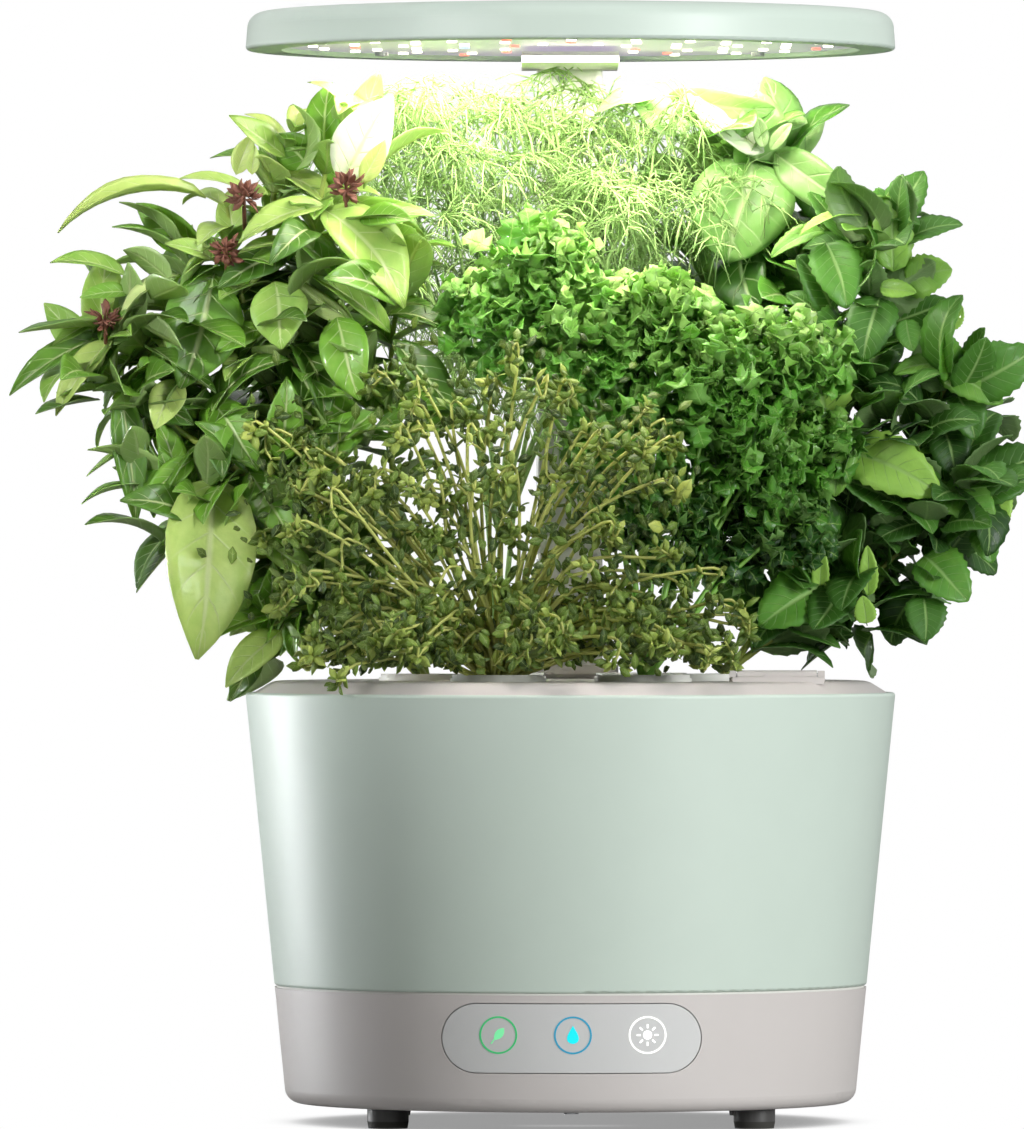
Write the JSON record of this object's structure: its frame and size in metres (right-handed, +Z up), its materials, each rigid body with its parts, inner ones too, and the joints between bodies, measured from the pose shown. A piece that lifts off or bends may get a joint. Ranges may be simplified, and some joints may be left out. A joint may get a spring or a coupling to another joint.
{
  "type": "countertop hydroponic garden",
  "caption": "Round countertop hydroponic garden: tapered water bowl on a base, pod deck with herbs, and a disc LED lamp on a sliding rear mast.",
  "frame": {"origin": "on the countertop, on the bowl's axis, under the middle of the four feet", "axes": "+Z up along the bowl's axis; +X to the right seen from the control panel; -Y is the front, with the control panel"},
  "size_m": [0.4242, 0.2798, 0.4777],
  "materials": {
    "aluminium": "satin",
    "basil_leaf": "satin",
    "basket_plastic": "satin",
    "black_plastic": "satin",
    "blue_light": "gloss",
    "brass": "satin",
    "ceramic_shaft": "gloss",
    "circuit_board": "satin",
    "components": "satin",
    "dill_leaf": "satin",
    "filter_foam": "matte",
    "float_plastic": "satin",
    "foot_rubber": "matte",
    "greige_plastic": "satin",
    "lamp_board": "satin",
    "lead_jacket": "matte",
    "mast_plastic": "satin",
    "mint_leaf": "satin",
    "panel_lens": "satin",
    "parsley_leaf": "satin",
    "peat_sponge": "matte",
    "red_light": "gloss",
    "sage_plastic": "satin",
    "seal_rubber": "matte",
    "steel": "satin",
    "thyme_leaf": "satin",
    "white_light": "gloss"
  },
  "bodies": {
    "root": {"base_shell": "greige_plastic", "basil_flowering": "basil_leaf", "basil_large": "basil_leaf", "board_parts": "components", "bottom_plate": "greige_plastic", "bottom_screws": "steel", "bowl": "sage_plastic", "bowl_screws": "steel", "control_board": "circuit_board", "control_lens": "panel_lens", "dill": "dill_leaf", "flap_pin": "steel", "float_guide": "basket_plastic", "grow_deck": "greige_plastic", "grow_sponges": "peat_sponge", "impeller_shaft": "ceramic_shaft", "indicator_leds": "white_light", "inner_cover": "greige_plastic", "jack_pin": "brass", "lead_slack": "lead_jacket", "main_board": "circuit_board", "mast_sleeve": "greige_plastic", "mint": "mint_leaf", "parsley": "parsley_leaf", "pod_basket_1": "basket_plastic", "pod_basket_2": "basket_plastic", "pod_basket_3": "basket_plastic", "pod_basket_4": "basket_plastic", "pod_basket_5": "basket_plastic", "pod_basket_6": "basket_plastic", "pod_collars": "basket_plastic", "power_jack": "black_plastic", "pump_cover": "black_plastic", "pump_filter": "filter_foam", "pump_housing": "black_plastic", "riser_tube": "basket_plastic", "rubber_feet": "foot_rubber", "seam_gasket": "seal_rubber", "sleeve_collar": "greige_plastic", "sleeve_foot": "black_plastic", "thyme": "thyme_leaf", "touch_springs": "steel"},
    "lamp": {"mast": "mast_plastic", "arm_screw": "steel", "lamp_lead": "lead_jacket", "lamp_hood": "sage_plastic", "lamp_bezel": "sage_plastic", "led_board": "lamp_board", "heat_plate": "aluminium", "board_screws": "steel", "white_leds": "white_light", "red_leds": "red_light", "blue_leds": "blue_light", "arm_cover": "mast_plastic"},
    "flap": {"fill_flap": "greige_plastic"},
    "float": {"level_float": "float_plastic"},
    "rotor": {"impeller": "basket_plastic"}
  },
  "joints": [
    {"name": "lamp_height", "type": "slide", "parent": "root", "child": "lamp", "axis": [0, 0, 1], "range_m": [-0.14, 0], "deforming": ["basil_flowering", "basil_large", "dill", "parsley", "thyme", "mint", "lead_slack"]},
    {"name": "flap_hinge", "type": "hinge", "parent": "root", "child": "flap", "pos_m": [0.088, -0.0495, 0.1926], "axis": [-1, 0, 0], "range_deg": [0, 100]},
    {"name": "float_rise", "type": "slide", "parent": "root", "child": "float", "axis": [0, 0, 1], "range_m": [0, 0.03]},
    {"name": "impeller_spin", "type": "hinge", "parent": "root", "child": "rotor", "pos_m": [0, 0, 0.084], "axis": [0, 1, 0], "continuous": true}
  ]
}
